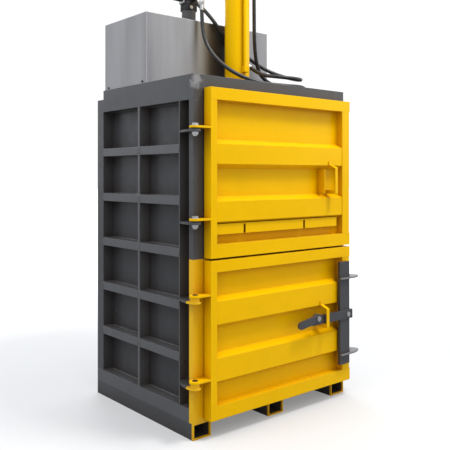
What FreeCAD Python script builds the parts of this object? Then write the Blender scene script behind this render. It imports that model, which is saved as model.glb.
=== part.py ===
"""Vertical downstroke baler: a welded steel press chamber on three feet, with two hinged
doors, a slide lock, a hydraulic cylinder with its rod and platen, and a power unit.

Origin: the footprint's centre on the floor. +Z is up, the doors face -Y, +X is the lock side.
All sizes are in millimetres.
"""
import FreeCAD, Part
import math
import os

Vector = FreeCAD.Vector

# ---- overall body ----
body_width = 1256.0
body_depth = 1050.0
body_height = 2000.0

# ---- feet and base ----
foot_width = 125.0
foot_height = 90.0
foot_wall = 8.0
base_height = 76.0
side_depth = 76.0          # how far the outer frame stands out of the chamber's inner face
wall_plate = 6.0           # chamber side and rear plates
beam_wall = 5.0
sill_depth = 60.0
floor_thickness = 10.0

# ---- posts, side ribs and top ----
post_width = 110.0
post_depth = 36.0
recess_end = 124.0         # the open recess beside the left door hinges ends here
edge_flat = 6.0            # flat bar on edge that closes the ribbed panels
rib_face = 50.0
rib_rows = 5
upright_place = 545.0      # flat bar on edge between the panels, from the front
upright_thickness = 20.0
top_beam_height = 140.0
rear_step = 58.0           # the rear end of the top frame is this much lower
front_beam_depth = 70.0
deck_thickness = 20.0
lip_height = 25.0
lip_thickness = 4.0

# ---- press chamber, platen and rod ----
chamber_depth = 646.0      # from the front posts' rear face to the back plate
back_plate = 8.0
stiffener_width = 80.0
stiffener_depth = 120.0
platen_gap = 12.0
platen_front_gap = 10.0
platen_plate = 20.0
platen_height = 140.0
platen_web = 15.0
platen_bottom = 1640.0
platen_stroke = 850.0
rod_radius = 45.0
running_fit = 0.05
seat_pad_radius = 110.0
seat_pad_height = 20.0

# ---- cylinder ----
cylinder_place = 358.0     # axis, from the frame's front face
barrel_radius = 80.0
bore_radius = 65.0
barrel_top = 3050.0
cap_thickness = 25.0
flange_radius = 115.0
flange_thickness = 25.0
flange_bolt_circle = 97.0
flange_bolt_radius = 8.0
flange_bolts_count = 8
gland_below = 15.0
gland_above = 65.0
gland_fit = 0.1
piston_thickness = 80.0
piston_head_room = 15.0
pipe_radius = 12.0
pipe_gap = 3.0
pipe_angle = -98.0        # seen from above, from the +X side
pipe_low = 2110.0
pipe_top = 2970.0
port_block = 40.0
port_block_half = 16.0
port_boss_radius = 20.0

# ---- doors ----
door_left = 72.0           # from the frame's left side
door_right_gap = 20.0      # from the frame's right side
door_gap = 6.0             # between the doors' backs and the posts
door_depth = 60.0
upper_door_low = 990.0
upper_door_top = 1928.0
lower_door_low = 104.0
lower_door_top = 979.0
stile_left = 44.0
stile_right = 68.0
upper_top_bar = 68.0
upper_low_bar = 76.0
lower_top_bar = 66.0
lower_low_bar = 76.0
bar_overhang = 6.0
door_wall = 4.0
vent_radius = 5.0
panel_set_back = 48.0      # panel face behind the door's front plane
panel_thickness = 6.0
rib_rise = 25.0
rib_set_back = 3.0
rib_wall = 6.0
upper_rib_face = 112.0
upper_rib_centres = (1564.0, 1246.0)
lower_rib_face = 126.0
lower_rib_centres = (689.0, 377.0)
lower_rib_end = 1124.0     # right end of the lower ribs, from the frame's left side
strip_low = 1117.0
strip_height = 59.0
strip_end = 1127.0
strip_set_back = 15.0
strip_thickness = 4.0
strip_slots = (330.0, 822.0)
slot_width = 16.0
slot_height = 52.0

# ---- hinges ----
pin_out = 12.0             # pin axis left of the frame's left side
pin_ahead = 34.0           # pin axis in front of the posts
pin_radius = 11.0
ear_radius = 32.0
ear_thickness = 12.0
gusset_thickness = 12.0
upper_ears = (1701.0, 1200.0)
lower_ears = (787.0, 326.0)
boss_radius = 18.0
upper_boss = 8.0
collar_radius = 26.0
lower_boss = 20.0
hinge_play = 0.5
bolt_head_radius = 19.0
bolt_head = 13.0
pin_head_radius = 15.0
pin_head = 3.0

# ---- slide lock ----
lock_bar_left = 1116.0
lock_bar_right = 1208.0
lock_bar_low = 225.0
lock_bar_top = 886.0
lock_bar_thickness = 20.0
lock_bar_gap = 6.0         # between the door's front plane and the bar
lock_arm_thickness = 10.0
lock_arm_low = 518.0
lock_arm_height = 56.0
lock_arm_left = 846.0
knuckle_radius = 12.0
lock_bolt_radius = 9.0
lock_bolt_head = 16.0
catch_thickness = 10.0
catch_heights = (785.0, 295.0)
catch_lip = 12.0
catch_clearance = 4.0
catch_outreach = 66.0
handle_pivot_x = 881.0
handle_pivot_z = 560.0
handle_length = 150.0
handle_droop = 9.2
handle_hub_radius = 29.0
handle_half = 22.5
handle_thickness = 16.0
handle_play = 0.4
keeper_x = 965.0
keeper_width = 24.0
keeper_thickness = 6.0
keeper_reach = 56.0
upper_keeper_x = 1046.0
guard_x = 984.0
guard_depth = 61.0

# ---- power unit ----
cover_left = 10.0
cover_right = 1005.0
cover_front = 474.0
cover_rear = 968.0
cover_height = 430.0
cover_sheet = 2.0
screw_radius = 4.0
screw_head_radius = 7.0
screw_head = 4.0
screw_height = 13.0
tank_left = 110.0
tank_length = 560.0
tank_front = 505.0
tank_depth = 420.0
tank_height = 300.0
neck_radius = 46.0
neck_above_cover = 76.0
valve_x = 398.0
valve_y = 572.0
valve_half_x = 42.0
valve_half_y = 36.0
valve_height = 132.0
motor_radius = 110.0
motor_length = 240.0
motor_left = 710.0
motor_y = 720.0
motor_foot = 20.0

# ---- hoses ----
hose_radius = 12.0
ferrule_radius = 15.0
ferrule_length = 48.0
port_stub = 30.0           # from a port elbow's centre to the ferrule

# ---- worked out ----
left = -body_width / 2
right = body_width / 2
front = -body_depth / 2
rear = body_depth / 2
base_top = foot_height + base_height
beam_low = body_height - top_beam_height
rear_top = body_height - rear_step
door_back = front - door_gap
door_front = door_back - door_depth
panel_front = door_front + panel_set_back
rib_front = door_front + rib_set_back
chamber_back = front + post_depth + chamber_depth
cylinder_y = front + cylinder_place
pin_x = left - pin_out
pin_y = front - pin_ahead
cover_top = body_height + cover_height
rod_top = barrel_top - cap_thickness - piston_head_room
valve_low = cover_top + neck_above_cover

os.makedirs("parts", exist_ok=True)


def write(node, *shapes):
    """Write one node's solid, or its group of like solids, to its own file."""
    shape = shapes[0] if len(shapes) == 1 else Part.makeCompound(list(shapes))
    shape.exportStep("parts/" + node + ".step")


def block(x0, x1, y0, y1, z0, z1):
    """A box between two corners."""
    return Part.makeBox(x1 - x0, y1 - y0, z1 - z0, Vector(x0, y0, z0))


def rod_along(radius, start, end):
    """A round bar from one point to another."""
    a = Vector(*start)
    b = Vector(*end)
    return Part.makeCylinder(radius, (b - a).Length, a, b - a)


def joined(*shapes):
    """Shapes welded into one solid, with the seams between flush faces removed."""
    return shapes[0].fuse(list(shapes[1:])).removeSplitter()


def tube(x0, x1, y0, y1, z0, z1, wall, axis):
    """A rectangular tube, open at both ends along the axis 0, 1 or 2."""
    low = [x0 + wall, y0 + wall, z0 + wall]
    high = [x1 - wall, y1 - wall, z1 - wall]
    low[axis] -= 2 * wall
    high[axis] += 2 * wall
    return block(x0, x1, y0, y1, z0, z1).cut(block(low[0], high[0], low[1], high[1], low[2], high[2]))


def closed_tube(x0, x1, y0, y1, z0, z1, wall):
    """A capped rectangular tube with one drain hole in its rear face."""
    core = block(x0 + wall, x1 - wall, y0 + wall, y1 - wall, z0 + wall, z1 - wall)
    middle = ((x0 + x1) / 2, (z0 + z1) / 2)
    drain = rod_along(vent_radius, (middle[0], y1 - 2 * wall, middle[1]), (middle[0], y1 + wall, middle[1]))
    return block(x0, x1, y0, y1, z0, z1).cut(core).cut(drain)


def along_x(points, x0, x1):
    """A solid with a flat outline of (y, z) points, drawn out from x0 to x1."""
    corners = [Vector(x0, y, z) for y, z in points]
    return Part.Face(Part.makePolygon(corners + corners[:1])).extrude(Vector(x1 - x0, 0, 0))


def along_z(edges, z0, z1):
    """A solid with a flat outline of edges at z0, drawn up to z1."""
    return Part.Face(Part.Wire(edges)).extrude(Vector(0, 0, z1 - z0))


def hexagon(radius, z0, z1, x, y):
    """A hexagonal bar about a vertical axis, with its corners at the radius."""
    corners = [Vector(x + radius * math.cos(math.radians(60 * k)),
                      y + radius * math.sin(math.radians(60 * k)), z0) for k in range(7)]
    return Part.Face(Part.makePolygon(corners)).extrude(Vector(0, 0, z1 - z0))


# ---- feet and base frame ----

def foot(x0):
    """One open-ended rectangular tube from front to back."""
    return tube(x0, x0 + foot_width, front, rear, 0, foot_height, foot_wall, 1)


write("foot_left", foot(left))
write("foot_middle", foot(-foot_width / 2))
write("foot_right", foot(right - foot_width))

for side, x0 in (("left", left), ("right", right - side_depth)):
    write("base_beam_" + side,
          tube(x0, x0 + side_depth, front + post_depth, rear, foot_height, base_top, beam_wall, 1))

write("base_sill_front", tube(left + post_width, right - post_width, front, front + sill_depth,
                              foot_height, base_top, beam_wall, 0))
write("base_beam_rear", tube(left + side_depth, right - side_depth, rear - side_depth, rear,
                             foot_height, base_top, beam_wall, 0))
write("floor_plate", block(left + side_depth, right - side_depth, front + post_depth,
                           rear - side_depth, base_top, base_top + floor_thickness))

# ---- posts ----

for side, x0 in (("left", left), ("right", right - post_width)):
    write("front_post_" + side,
          tube(x0, x0 + post_width, front, front + post_depth, foot_height, beam_low, beam_wall, 2))
for side, x0 in (("left", left), ("right", right - side_depth)):
    write("rear_post_" + side,
          tube(x0, x0 + side_depth, rear - side_depth, rear, base_top, beam_low, beam_wall, 2))

# ---- side walls with their welded ribs ----

bay = (beam_low - base_top - rib_rows * rib_face) / (rib_rows + 1)


def rib_heights():
    """Lower edges of the rib rows, spaced so that all bays are equal."""
    return [base_top + bay + k * (bay + rib_face) for k in range(rib_rows)]


def side_grid(x_out, x_in):
    """Horizontal ribs, one upright and one front edge bar, welded on the outside of a side wall."""
    x0, x1 = sorted((x_out, x_in))
    edge_bar = block(x0, x1, front + recess_end, front + recess_end + edge_flat, base_top, beam_low)
    upright = block(x0, x1, front + upright_place - upright_thickness / 2,
                    front + upright_place + upright_thickness / 2, base_top, beam_low)
    ribs = [block(x0, x1, front + recess_end + edge_flat, rear - side_depth, z, z + rib_face)
            for z in rib_heights()]
    return joined(edge_bar, upright, *ribs)


for side, sign in (("left", -1), ("right", 1)):
    outer = sign * body_width / 2
    inner = sign * (body_width / 2 - side_depth)
    plate = inner + sign * wall_plate
    x0, x1 = sorted((inner, plate))
    write("side_wall_" + side, block(x0, x1, front + post_depth, rear - side_depth,
                                     base_top, beam_low))
    write("side_grid_" + side, side_grid(outer, plate))

# ---- rear panel ----

rear_plate = block(left + side_depth, right - side_depth, rear - side_depth,
                   rear - side_depth + wall_plate, base_top, beam_low)
rear_ribs = [block(left + side_depth, right - side_depth, rear - side_depth + wall_plate, rear,
                   z, z + rib_face) for z in rib_heights()]
rear_uprights = [block(x - upright_thickness / 2, x + upright_thickness / 2,
                       rear - side_depth + wall_plate, rear, base_top, beam_low)
                 for x in (-body_width / 6, body_width / 6)]
write("rear_panel", joined(rear_plate, *rear_ribs, *rear_uprights))

# ---- chamber back plate with its stiffeners ----

stiffeners = [block(x - stiffener_width / 2, x + stiffener_width / 2, chamber_back + back_plate,
                    chamber_back + back_plate + stiffener_depth,
                    base_top + floor_thickness, beam_low)
              for x in (-body_width / 4, 0, body_width / 4)]
back_sheet = block(left + side_depth, right - side_depth, chamber_back, chamber_back + back_plate,
                   base_top + floor_thickness, beam_low)
write("chamber_back", joined(back_sheet, *stiffeners))

# ---- top frame and deck ----


def top_side_beam(x0, lip):
    """A closed side beam with a lower rear end. The left one carries a lip for the cover."""
    x1 = x0 + side_depth

    def outline(inset):
        return [(front + inset, beam_low + inset), (rear - inset, beam_low + inset),
                (rear - inset, rear_top - inset), (rear - side_depth - inset, rear_top - inset),
                (rear - side_depth - inset, body_height - inset), (front + inset, body_height - inset)]

    core = along_x(outline(beam_wall), x0 + beam_wall, x1 - beam_wall)
    drain = rod_along(vent_radius, (x0 + side_depth / 2, front + body_depth / 3, beam_low - beam_wall),
                      (x0 + side_depth / 2, front + body_depth / 3, beam_low + 2 * beam_wall))
    beam = along_x(outline(0), x0, x1).cut(core).cut(drain)
    if lip:
        x_lip = left + cover_left + cover_sheet
        upstand = block(x_lip, x_lip + lip_thickness, front + cover_front + cover_sheet + lip_thickness,
                        front + cover_rear - cover_sheet, body_height, body_height + lip_height)
        beam = joined(beam, upstand)
        for y in (front + cover_front + 46, front + cover_rear - 46):
            beam = beam.cut(rod_along(screw_radius, (left, y, body_height + screw_height),
                                      (left + side_depth, y, body_height + screw_height)))
    return beam


write("top_beam_left", top_side_beam(left, True))
write("top_beam_right", top_side_beam(right - side_depth, False))
write("top_beam_front", tube(left + side_depth, right - side_depth, front, front + front_beam_depth,
                             beam_low, body_height, beam_wall, 0))
write("top_beam_rear", tube(left + side_depth, right - side_depth, rear - side_depth, rear,
                            beam_low, rear_top, beam_wall, 0))

flange_hole_angles = [360.0 * (k + 0.5) / flange_bolts_count for k in range(flange_bolts_count)]


def on_flange(angle):
    """Centre of one flange bolt, seen from above."""
    turn = math.radians(angle)
    return flange_bolt_circle * math.cos(turn), cylinder_y + flange_bolt_circle * math.sin(turn)


deck_low = body_height - deck_thickness
deck = block(left + side_depth, right - side_depth, front + front_beam_depth, rear - side_depth,
             deck_low, body_height)
deck = deck.cut(rod_along(bore_radius + 1, (0, cylinder_y, deck_low - 1), (0, cylinder_y, body_height + 1)))
for angle in flange_hole_angles:
    bx, by = on_flange(angle)
    deck = deck.cut(rod_along(flange_bolt_radius + hinge_play, (bx, by, deck_low - 1),
                              (bx, by, body_height + 1)))
lip_y = front + cover_front + cover_sheet
lip_x = left + cover_right - cover_sheet
front_lip = block(left + side_depth, lip_x - lip_thickness, lip_y, lip_y + lip_thickness,
                  body_height, body_height + lip_height)
right_lip = block(lip_x - lip_thickness, lip_x, lip_y, front + cover_rear - cover_sheet,
                  body_height, body_height + lip_height)
deck = joined(deck, front_lip, right_lip)
front_screws = [(left + 105.0, "front"), (left + 360.0, "front"), (left + 820.0, "front"),
                (left + 940.0, "front")]
right_screws = [(front + cover_front + 46, "right"), (front + cover_rear - 46, "right")]
left_screws = [(front + cover_front + 46, "left"), (front + cover_rear - 46, "left")]
cover_screw_places = front_screws + right_screws + left_screws


def cover_screw(place, face, grow=0.0, shank_only=False):
    """One cover screw, its head outside the cover and its shank through sheet and lip."""
    z = body_height + screw_height
    reach = cover_sheet + lip_thickness
    if face == "front":
        surface = front + cover_front
        start, end, head = (place, surface, z), (place, surface + reach, z), (place, surface - screw_head, z)
    elif face == "right":
        surface = left + cover_right
        start, end, head = (surface, place, z), (surface - reach, place, z), (surface + screw_head, place, z)
    else:
        surface = left + cover_left
        start, end, head = (surface, place, z), (surface + reach, place, z), (surface - screw_head, place, z)
    shank = rod_along(screw_radius + grow, start, end)
    if shank_only:
        return shank
    return joined(shank, rod_along(screw_head_radius, head, start))


for place, face in front_screws + right_screws:
    deck = deck.cut(cover_screw(place, face, shank_only=True))
write("deck_plate", deck)

# ---- hose routes ----


def local(points):
    """Route points, given from the frame's left front corner, in the part's own frame."""
    return [Vector(left + x, front + y, z) for x, y, z in points]


pressure_route = local([
    (403, 440, 2504), (403, 440, 2384), (415, 402, 2258), (455, 322, 2150), (535, 237, 2068),
    (668, 170, 2024), (797, 93, 2013), (920, 62, 2013), (1029, 133, 2014), (1055, 258, 2022),
    (979, 363, 2048), (850, 376, 2105), (775, 340, 2205), (733, 308, 2335), (720, 295, 2500),
    (714, 291, 2680), (715, 290, 2856)])

return_route = local([
    (472, 539, 2546), (501, 439, 2446), (600, 456, 2335), (708, 455, 2294), (802, 437, 2230),
    (916, 406, 2165), (1008, 332, 2118), (1038, 218, 2085), (981, 113, 2068), (866, 80, 2064),
    (762, 138, 2072), (730, 249, 2092), (732, 351, 2155)])

# ---- cylinder ----

barrel = joined(rod_along(barrel_radius, (0, cylinder_y, body_height), (0, cylinder_y, barrel_top)),
                rod_along(flange_radius, (0, cylinder_y, body_height),
                          (0, cylinder_y, body_height + flange_thickness)))
barrel = barrel.cut(rod_along(bore_radius, (0, cylinder_y, body_height - 1),
                              (0, cylinder_y, barrel_top - cap_thickness)))
for angle in flange_hole_angles:
    bx, by = on_flange(angle)
    barrel = barrel.cut(rod_along(flange_bolt_radius + hinge_play, (bx, by, body_height - 1),
                                  (bx, by, body_height + flange_thickness + 1)))


def port_elbow(end, before):
    """A stem out of the barrel to a round knee that faces a hose's end."""
    knee = end + (end - before).normalize() * (ferrule_length + port_stub)
    turn = math.atan2(knee.y - cylinder_y, knee.x)
    root = ((barrel_radius - 6) * math.cos(turn), cylinder_y + (barrel_radius - 6) * math.sin(turn), knee.z)
    boss_end = ((barrel_radius + 10) * math.cos(turn), cylinder_y + (barrel_radius + 10) * math.sin(turn), knee.z)
    neck_end = end + (end - before).normalize() * ferrule_length
    return [rod_along(port_boss_radius, root, boss_end), rod_along(ferrule_radius, root, tuple(knee)),
            Part.makeSphere(ferrule_radius, knee), rod_along(ferrule_radius, tuple(knee), tuple(neck_end))]


top_port = port_elbow(pressure_route[-1], pressure_route[-2])
base_port = port_elbow(return_route[-1], return_route[-2])
bore = rod_along(bore_radius, (0, cylinder_y, body_height - 1), (0, cylinder_y, barrel_top - cap_thickness))
barrel = joined(barrel, *top_port, *base_port).cut(bore)
write("cylinder_barrel", barrel)

write("flange_bolts", *[
    joined(rod_along(flange_bolt_radius, (*on_flange(angle), deck_low - 2 * beam_wall),
                     (*on_flange(angle), body_height + flange_thickness)),
           hexagon(1.7 * flange_bolt_radius, body_height + flange_thickness,
                   body_height + flange_thickness + 10.0, *on_flange(angle)))
    for angle in flange_hole_angles])

gland = rod_along(bore_radius - gland_fit, (0, cylinder_y, body_height - gland_below),
                  (0, cylinder_y, body_height + gland_above))
write("rod_gland", gland.cut(rod_along(rod_radius + running_fit,
                                       (0, cylinder_y, body_height - gland_below - 1),
                                       (0, cylinder_y, body_height + gland_above + 1))))

pipe_turn = math.radians(pipe_angle)
pipe_reach = barrel_radius + pipe_gap + pipe_radius
pipe_x = pipe_reach * math.cos(pipe_turn)
pipe_y = cylinder_y + pipe_reach * math.sin(pipe_turn)
pipe_parts = [rod_along(pipe_radius, (pipe_x, pipe_y, pipe_low), (pipe_x, pipe_y, pipe_top))]
for z in (pipe_low - port_block / 4, pipe_top - 3 * port_block / 4):
    port = block(bore_radius, pipe_reach + port_block_half, -port_block_half, port_block_half, 0, port_block)
    port.rotate(Vector(0, 0, 0), Vector(0, 0, 1), pipe_angle)
    port.translate(Vector(0, cylinder_y, z))
    pipe_parts.append(port)
barrel_space = rod_along(barrel_radius + hinge_play / 2, (0, cylinder_y, body_height), (0, cylinder_y, barrel_top))
write("cylinder_pipe", joined(*pipe_parts).cut(barrel_space))

# ---- rod with its piston, and the platen ----

platen_top = platen_bottom + platen_height
rod = joined(rod_along(rod_radius, (0, cylinder_y, platen_top + seat_pad_height),
                       (0, cylinder_y, rod_top)),
             rod_along(bore_radius - running_fit, (0, cylinder_y, rod_top - piston_thickness),
                       (0, cylinder_y, rod_top)))
write("piston_rod", rod)

platen_left = left + side_depth + platen_gap
platen_right = -platen_left
platen_front = front + post_depth + platen_front_gap
platen_rear = chamber_back - platen_gap


def platen():
    """A thick bottom plate with crossed webs and a round seat for the rod."""
    z0 = platen_bottom
    bottom = block(platen_left, platen_right, platen_front, platen_rear, z0, z0 + platen_plate)
    webs = [block(x, x + platen_web, platen_front, platen_rear, z0 + platen_plate, platen_top)
            for x in (platen_left, platen_left / 2, -platen_web / 2, platen_right / 2, platen_right - platen_web)]
    cross = [block(platen_left, platen_right, y, y + platen_web, z0 + platen_plate, platen_top)
             for y in (platen_front, platen_rear - platen_web)]
    seat_web = block(platen_left / 2, platen_right / 2, cylinder_y - platen_web, cylinder_y + platen_web,
                     z0 + platen_plate, platen_top)
    seat = rod_along(seat_pad_radius, (0, cylinder_y, platen_top - platen_plate),
                     (0, cylinder_y, platen_top + seat_pad_height))
    return joined(bottom, *webs, *cross, seat_web, seat)


write("platen", platen())

# ---- hinges ----


def ear(z):
    """A round-ended hinge ear that reaches from the door's edge over the pin."""
    plate = joined(block(pin_x, left + door_left, pin_y - ear_radius, pin_y + ear_radius, z,
                         z + ear_thickness),
                   rod_along(ear_radius, (pin_x, pin_y, z), (pin_x, pin_y, z + ear_thickness)))
    return plate.cut(rod_along(pin_radius + running_fit, (pin_x, pin_y, z - 1),
                               (pin_x, pin_y, z + ear_thickness + 1)))


def gusset(ear_low, boss_height, boss_r):
    """A curved bracket from the recess round the post's edge to an eye, with a boss under the ear."""
    top = ear_low - hinge_play - boss_height
    z = top - gusset_thickness

    def at(x, y):
        return Vector(left + x, front + y, z)

    outline = [
        Part.Arc(at(0, recess_end), at(-33, 66), at(-pin_out - ear_radius, -pin_ahead)).toShape(),
        Part.Arc(at(-pin_out - ear_radius, -pin_ahead), at(-pin_out, -pin_ahead - ear_radius),
                 at(-pin_out + ear_radius, -pin_ahead)).toShape(),
        Part.LineSegment(at(-pin_out + ear_radius, -pin_ahead), at(-pin_out + ear_radius, 0)).toShape(),
        Part.LineSegment(at(-pin_out + ear_radius, 0), at(0, 0)).toShape(),
        Part.LineSegment(at(0, 0), at(0, post_depth)).toShape(),
        Part.LineSegment(at(0, post_depth), at(side_depth - wall_plate, post_depth)).toShape(),
        Part.LineSegment(at(side_depth - wall_plate, post_depth),
                         at(side_depth - wall_plate, recess_end)).toShape(),
        Part.LineSegment(at(side_depth - wall_plate, recess_end), at(0, recess_end)).toShape()]
    plate = along_z(outline, z, top)
    boss = rod_along(boss_r, (pin_x, pin_y, z), (pin_x, pin_y, top + boss_height))
    hole = rod_along(pin_radius + running_fit, (pin_x, pin_y, z - 1), (pin_x, pin_y, top + boss_height + 1))
    return joined(plate, boss).cut(hole)


for name, z in zip(("upper_gusset_top", "upper_gusset_low"), upper_ears):
    write(name, gusset(z, upper_boss, boss_radius))
for name, z in zip(("lower_gusset_top", "lower_gusset_low"), lower_ears):
    write(name, gusset(z, lower_boss, collar_radius))


def hinge_bolt(z):
    """A bolt through ear and gusset with its nut beneath."""
    head_low = z + ear_thickness + hinge_play
    nut_top = z - hinge_play - upper_boss - gusset_thickness
    return joined(rod_along(pin_radius, (pin_x, pin_y, nut_top - 24), (pin_x, pin_y, head_low)),
                  hexagon(bolt_head_radius, head_low, head_low + bolt_head, pin_x, pin_y),
                  hexagon(bolt_head_radius, nut_top - 16, nut_top, pin_x, pin_y))


def hinge_pin(z):
    """A plain pin with a thin round head on the ear."""
    head_low = z + ear_thickness + hinge_play
    low = z - hinge_play - lower_boss - gusset_thickness
    return joined(rod_along(pin_radius, (pin_x, pin_y, low), (pin_x, pin_y, head_low)),
                  rod_along(pin_head_radius, (pin_x, pin_y, head_low), (pin_x, pin_y, head_low + pin_head)))


write("hinge_bolts", *[hinge_bolt(z) for z in upper_ears])
write("hinge_pins", *[hinge_pin(z) for z in lower_ears])

# ---- doors ----

door_x0 = left + door_left
door_x1 = right - door_right_gap
panel_x0 = door_x0 + stile_left
panel_x1 = door_x1 - stile_right


def door_frame(low, top, low_bar, top_bar, ears):
    """Two bars and two stiles of closed tube, with the hinge ears welded on."""
    bars = [closed_tube(door_x0, door_x1 + bar_overhang, door_front, door_back, top - top_bar, top, door_wall),
            closed_tube(door_x0, door_x1 + bar_overhang, door_front, door_back, low, low + low_bar, door_wall)]
    stiles = [closed_tube(x0, x1, door_front, door_back, low + low_bar, top - top_bar, door_wall)
              for x0, x1 in ((door_x0, panel_x0), (panel_x1, door_x1))]
    return joined(*bars, *stiles, *[ear(z) for z in ears])


write("upper_door_frame", door_frame(upper_door_low, upper_door_top, upper_low_bar, upper_top_bar, upper_ears))
write("lower_door_frame", door_frame(lower_door_low, lower_door_top, lower_low_bar, lower_top_bar, lower_ears))


def folded_panel():
    """One sheet between the upper door's bars, folded out into two ribs."""
    face = [(panel_front, upper_door_low + upper_low_bar)]
    for centre in sorted(upper_rib_centres):
        half = upper_rib_face / 2
        face += [(panel_front, centre - half - rib_rise), (rib_front, centre - half),
                 (rib_front, centre + half), (panel_front, centre + half + rib_rise)]
    face.append((panel_front, upper_door_top - upper_top_bar))
    behind = [(y + panel_thickness, z) for y, z in reversed(face)]
    return along_x(face + behind, panel_x0, panel_x1)


write("upper_door_panel", folded_panel())
write("lower_door_skin", block(panel_x0, panel_x1, panel_front, panel_front + panel_thickness,
                               lower_door_low + lower_low_bar, lower_door_top - lower_top_bar))


def hat_rib(centre):
    """A folded hat section, open at its back, welded on the lower door's skin."""
    half = lower_rib_face / 2
    outer = [(panel_front, centre - half - rib_rise), (rib_front, centre - half),
             (rib_front, centre + half), (panel_front, centre + half + rib_rise)]
    inner = [(panel_front, centre - half - rib_rise + rib_wall), (rib_front + rib_wall, centre - half + 2),
             (rib_front + rib_wall, centre + half - 2), (panel_front, centre + half + rib_rise - rib_wall)]
    x1 = left + lower_rib_end
    return along_x(outer, panel_x0, x1).cut(along_x(inner, panel_x0 - 1, x1 + 1))


write("lower_rib_top", hat_rib(lower_rib_centres[0]))
write("lower_rib_low", hat_rib(lower_rib_centres[1]))


def strap_strip():
    """An angle strip over the upper door's lower bar, with two notches for baling straps."""
    y0 = door_front + strip_set_back
    x1 = left + strip_end
    strip = joined(block(panel_x0, x1, y0, y0 + strip_thickness, strip_low, strip_low + strip_height),
                   block(panel_x0, x1, y0, panel_front, strip_low, strip_low + strip_thickness))
    for x in strip_slots:
        strip = strip.cut(block(left + x - slot_width / 2, left + x + slot_width / 2, y0 - 1,
                                panel_front - strip_thickness, strip_low - 1, strip_low + slot_height))
    return strip


write("strap_strip", strap_strip())

# ---- keepers ----


def keeper(x, rib_low, rib_high, ledge_top):
    """A bent strap over the lock arm: a foot on the rib above, a knee, and a ledge to the panel."""
    x0 = left + x - keeper_width / 2
    x1 = x0 + keeper_width
    far = door_front - keeper_reach
    near = far + keeper_thickness
    foot_top = rib_low + 26
    foot_low = rib_low + 4
    knee = rib_low - 16
    strap = along_x([(rib_front, foot_top), (rib_front - keeper_thickness, foot_top),
                     (rib_front - keeper_thickness, foot_low + 2), (far, knee), (far, ledge_top - 24),
                     (near, ledge_top - 24), (near, knee - 3), (rib_front, foot_low - 3)], x0, x1)
    ledge = along_x([(near, ledge_top - 24), (near, ledge_top), (panel_front, ledge_top),
                     (panel_front, max(ledge_top - 24, rib_high + rib_rise))], x0, x1)
    return joined(strap, ledge)


lower_gap_top = lower_rib_centres[0] - lower_rib_face / 2
lower_gap_low = lower_rib_centres[1] + lower_rib_face / 2
write("lower_keeper", keeper(keeper_x, lower_gap_top, lower_gap_low, lock_arm_low - handle_play))

upper_gap_top = upper_rib_centres[0] - upper_rib_face / 2
upper_gap_low = upper_rib_centres[1] + upper_rib_face / 2
guard = block(left + guard_x - keeper_thickness / 2, left + guard_x + keeper_thickness / 2,
              panel_front - guard_depth, panel_front, upper_gap_low + rib_rise, upper_gap_top - rib_rise)
brace = block(left + guard_x, left + upper_keeper_x, panel_front - keeper_thickness, panel_front,
              upper_gap_low + rib_rise, upper_gap_low + rib_rise + 24)
write("upper_keeper", joined(keeper(upper_keeper_x, upper_gap_top, upper_gap_low,
                                    upper_gap_low + rib_rise + 24), guard, brace))

# ---- slide lock ----

bar_back = door_front - lock_bar_gap
bar_front = bar_back - lock_bar_thickness
arm_front = bar_front - lock_arm_thickness
arm_middle = lock_arm_low + lock_arm_height / 2
write("lock_bar", block(left + lock_bar_left, left + lock_bar_right, bar_front, bar_back,
                        lock_bar_low, lock_bar_top))
lock_bolt_x = left + lock_bar_right - 26
knuckle_x = left + lock_bar_right + knuckle_radius
arm = joined(block(left + lock_arm_left, knuckle_x, arm_front, bar_front, lock_arm_low,
                   lock_arm_low + lock_arm_height),
             rod_along(knuckle_radius, (knuckle_x, bar_front, lock_arm_low),
                       (knuckle_x, bar_front, lock_arm_low + lock_arm_height)))
pivot = (left + handle_pivot_x, handle_pivot_z)
arm = joined(arm, rod_along(handle_hub_radius, (pivot[0], arm_front, pivot[1]), (pivot[0], bar_front, pivot[1])))
arm = arm.cut(rod_along(lock_bolt_radius, (pivot[0], arm_front - 1, pivot[1]), (pivot[0], bar_front + 1, pivot[1])))
arm = arm.cut(rod_along(lock_bolt_radius, (lock_bolt_x, arm_front - 1, arm_middle),
                        (lock_bolt_x, bar_front + 1, arm_middle)))
write("lock_arm", arm)


def lock_bolt(x, z, y_head, y_end):
    """A round-headed bolt along Y."""
    return joined(rod_along(lock_bolt_radius, (x, y_head, z), (x, y_end, z)),
                  rod_along(lock_bolt_head, (x, y_head - 6, z), (x, y_head, z)))


handle_front = arm_front - handle_play - handle_thickness
write("lock_bolts",
      lock_bolt(lock_bolt_x, arm_middle, arm_front, bar_front),
      lock_bolt(pivot[0], pivot[1], handle_front - handle_play, bar_front))


def lock_handle():
    """A flat rounded lever about the pivot bolt, drooping a little to the left."""
    slope = math.radians(handle_droop)
    end_x = pivot[0] - handle_length * math.cos(slope)
    end_z = pivot[1] - handle_length * math.sin(slope)
    y1 = arm_front - handle_play
    hub = rod_along(handle_hub_radius, (pivot[0], handle_front, pivot[1]), (pivot[0], y1, pivot[1]))
    tip = rod_along(handle_half, (end_x, handle_front, end_z), (end_x, y1, end_z))
    nx = math.sin(slope)
    nz = -math.cos(slope)
    corners = [(pivot[0] + nx * handle_half, pivot[1] + nz * handle_half),
               (end_x + nx * handle_half, end_z + nz * handle_half),
               (end_x - nx * handle_half, end_z - nz * handle_half),
               (pivot[0] - nx * handle_half, pivot[1] - nz * handle_half)]
    wire = Part.makePolygon([Vector(x, handle_front, z) for x, z in corners + corners[:1]])
    web = Part.Face(wire).extrude(Vector(0, y1 - handle_front, 0))
    lever = joined(hub, tip, web)
    return lever.cut(rod_along(lock_bolt_radius + running_fit, (pivot[0], handle_front - 1, pivot[1]),
                               (pivot[0], y1 + 1, pivot[1])))


write("lock_handle", lock_handle())


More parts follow.
